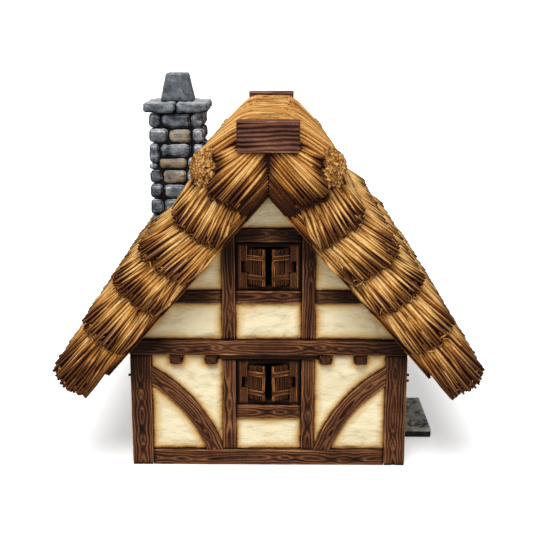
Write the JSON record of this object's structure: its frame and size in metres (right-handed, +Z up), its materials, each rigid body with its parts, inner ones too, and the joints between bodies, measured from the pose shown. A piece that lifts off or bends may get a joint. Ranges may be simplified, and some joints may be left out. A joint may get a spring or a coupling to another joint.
{
  "type": "tabletop model of a thatched half-timbered cottage",
  "caption": "Painted tabletop model of a thatched half-timbered cottage: timber frame with plaster panels, shuttered windows, stepped thatch, stone chimney and doorstep.",
  "frame": {"origin": "centre of the plan, on the ground", "axes": "+Z up, +Y from the front gable to the rear gable along the ridge, +X to the door side"},
  "size_m": [0.1638, 0.172, 0.1544],
  "materials": {
    "timber": "matt dark brown, dry-brushed lighter on the carved grain",
    "joinery": "matt dark brown planks with paler edges",
    "plaster": "matt cream, washed brown along the timbers",
    "thatch": "matt ochre straw, dry-brushed yellow over dark brown",
    "ridge_block": "matt red-brown, carved along its length",
    "stone": "matt blue-grey stones with dark joints",
    "capstone": "matt mid grey",
    "doorstep": "matt dark grey",
    "floor": "matt brown"
  },
  "bodies": {
    "root": {"floor_joists": "timber", "sill_beams": "timber", "corner_posts": "timber", "bressummers": "timber", "wall_plates": "timber", "front_studs": "timber", "front_rails": "timber", "front_braces": "timber", "rear_studs": "timber", "rear_rails": "timber", "rear_braces": "timber", "side_studs": "timber", "side_rails": "timber", "side_braces": "timber", "front_window_frames": "joinery", "front_shutters": "joinery", "rear_window_frames": "joinery", "rear_shutters": "joinery", "side_window_frames": "joinery", "side_shutters": "joinery", "door_frame": "joinery", "door": "joinery", "front_plaster": "plaster", "rear_plaster": "plaster", "left_plaster": "plaster", "right_plaster": "plaster", "left_thatch_base": "thatch", "right_thatch_base": "thatch", "thatch_course_1": "thatch", "thatch_course_2": "thatch", "thatch_course_3": "thatch", "thatch_course_4": "thatch", "thatch_course_5": "thatch", "ridge_thatch": "thatch", "front_ridge_block": "ridge_block", "rear_ridge_block": "ridge_block", "chimney_stack": "stone", "chimney_cap": "capstone", "chimney_pot": "capstone", "doorstep": "doorstep", "ground_floor": "floor", "upper_floor": "floor"}
  },
  "joints": []
}
